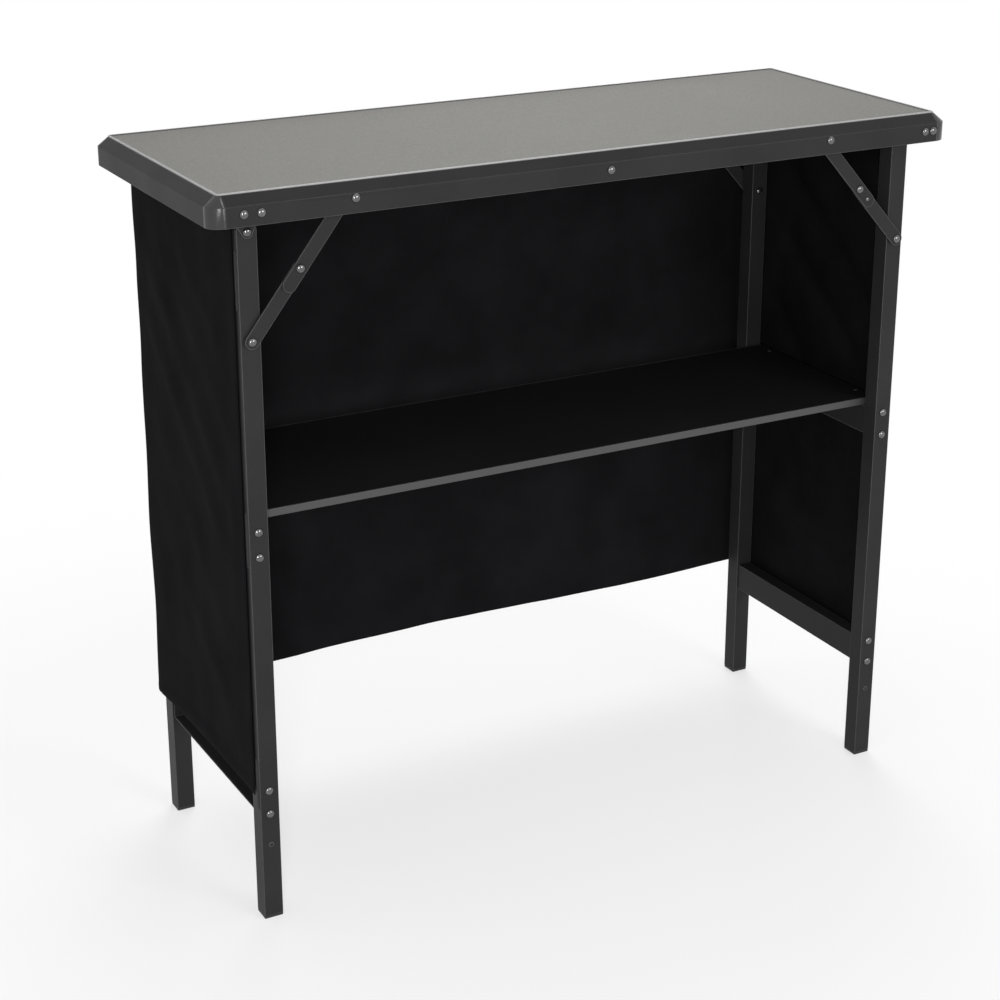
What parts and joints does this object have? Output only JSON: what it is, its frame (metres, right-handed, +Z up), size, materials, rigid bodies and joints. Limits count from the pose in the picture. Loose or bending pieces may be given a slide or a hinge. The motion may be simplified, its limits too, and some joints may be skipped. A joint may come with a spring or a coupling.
{
  "type": "folding portable bar",
  "caption": "Folding portable bar: rimmed metal-faced top on folding tube leg frames with elbow braces, a loose shelf and a dark fabric skirt on three sides.",
  "frame": {"origin": "on the floor, under the middle of the top", "axes": "+X along the bar, +Y from the open side to the skirted long side, +Z up"},
  "size_m": [0.9906, 0.386, 0.9017],
  "materials": {
    "top_metal": "fine speckled satin grey sheet",
    "board": "plain dark board under the sheet",
    "frame_steel": "dark grey powder coat, satin",
    "rivet_steel": "glossy dark rivet heads",
    "foot_plastic": "black moulded plugs",
    "shelf_black": "black laminated panel",
    "shelf_trim": "dark grey edge band",
    "skirt_cloth": "black woven cloth with slight sheen"
  },
  "bodies": {
    "tabletop": {"top_sheet": "top_metal", "top_board": "board", "rim_front": "frame_steel", "rim_back": "frame_steel", "rim_left": "frame_steel", "rim_right": "frame_steel", "rim_corner_front_left": "frame_steel", "rim_corner_front_right": "frame_steel", "rim_corner_back_left": "frame_steel", "rim_corner_back_right": "frame_steel", "board_clip_front": "frame_steel", "board_clip_back": "frame_steel", "hinge_bracket_front_left": "frame_steel", "leg_front_left": "frame_steel", "brace_upper_front_left": "frame_steel", "brace_lower_front_left": "frame_steel", "foot_plug_front_left": "foot_plastic", "leg_pin_front_left": "rivet_steel", "brace_rim_pin_front_left": "rivet_steel", "brace_elbow_rivet_front_left": "rivet_steel", "brace_foot_rivet_front_left": "rivet_steel", "hinge_bracket_front_right": "frame_steel", "brace_rim_pin_front_right": "rivet_steel", "hinge_bracket_back_left": "frame_steel", "leg_back_left": "frame_steel", "brace_upper_back_left": "frame_steel", "brace_lower_back_left": "frame_steel", "foot_plug_back_left": "foot_plastic", "leg_pin_back_left": "rivet_steel", "brace_rim_pin_back_left": "rivet_steel", "brace_elbow_rivet_back_left": "rivet_steel", "brace_foot_rivet_back_left": "rivet_steel", "hinge_bracket_back_right": "frame_steel", "brace_rim_pin_back_right": "rivet_steel", "mid_rail_left": "frame_steel", "lower_rail_left": "frame_steel", "skirt_left": "skirt_cloth", "skirt_right": "skirt_cloth", "skirt_back": "skirt_cloth"},
    "right_frame": {"leg_front_right": "frame_steel", "leg_back_right": "frame_steel", "mid_rail_right": "frame_steel", "lower_rail_right": "frame_steel", "foot_plug_front_right": "foot_plastic", "foot_plug_back_right": "foot_plastic", "leg_pin_front_right": "rivet_steel", "leg_pin_back_right": "rivet_steel"},
    "brace_upper_front": {"brace_upper_front_right": "frame_steel", "brace_elbow_rivet_front_right": "rivet_steel"},
    "brace_lower_front": {"brace_lower_front_right": "frame_steel", "brace_foot_rivet_front_right": "rivet_steel"},
    "brace_upper_back": {"brace_upper_back_right": "frame_steel", "brace_elbow_rivet_back_right": "rivet_steel"},
    "brace_lower_back": {"brace_lower_back_right": "frame_steel", "brace_foot_rivet_back_right": "rivet_steel"},
    "shelf": {"shelf_panel": "shelf_black", "shelf_edge_front": "shelf_trim", "shelf_edge_back": "shelf_trim"}
  },
  "joints": [
    {"name": "right_fold", "type": "hinge", "parent": "tabletop", "child": "right_frame", "pos_m": [0.443, 0, 0.87], "axis": [0, 1, 0], "range_deg": [0, 90]},
    {"name": "brace_upper_front_turn", "type": "hinge", "parent": "tabletop", "child": "brace_upper_front", "pos_m": [0.313, -0.1683, 0.8847], "axis": [0, -1, 0], "range_deg": [0, 43.9]},
    {"name": "brace_elbow_front_turn", "type": "hinge", "parent": "brace_upper_front", "child": "brace_lower_front", "pos_m": [0.378, -0.167, 0.81235], "axis": [0, 1, 0], "range_deg": [0, 171.5]},
    {"name": "brace_upper_back_turn", "type": "hinge", "parent": "tabletop", "child": "brace_upper_back", "pos_m": [0.313, 0.1683, 0.8847], "axis": [0, -1, 0], "range_deg": [0, 43.9]},
    {"name": "brace_elbow_back_turn", "type": "hinge", "parent": "brace_upper_back", "child": "brace_lower_back", "pos_m": [0.378, 0.167, 0.81235], "axis": [0, 1, 0], "range_deg": [0, 171.5]},
    {"name": "shelf_lift", "type": "slide", "parent": "tabletop", "child": "shelf", "axis": [0, 0, 1], "range_m": [0, 0.3755]}
  ],
  "couplings": [
    {"joint": "brace_upper_front_turn", "follows": "right_fold", "ratio": 0.48588},
    {"joint": "brace_elbow_front_turn", "follows": "right_fold", "ratio": 1.9037},
    {"joint": "brace_upper_back_turn", "follows": "right_fold", "ratio": 0.48588},
    {"joint": "brace_elbow_back_turn", "follows": "right_fold", "ratio": 1.9037},
    {"joint": "shelf_lift", "follows": "right_fold", "m_per_rad": 0.23841}
  ]
}
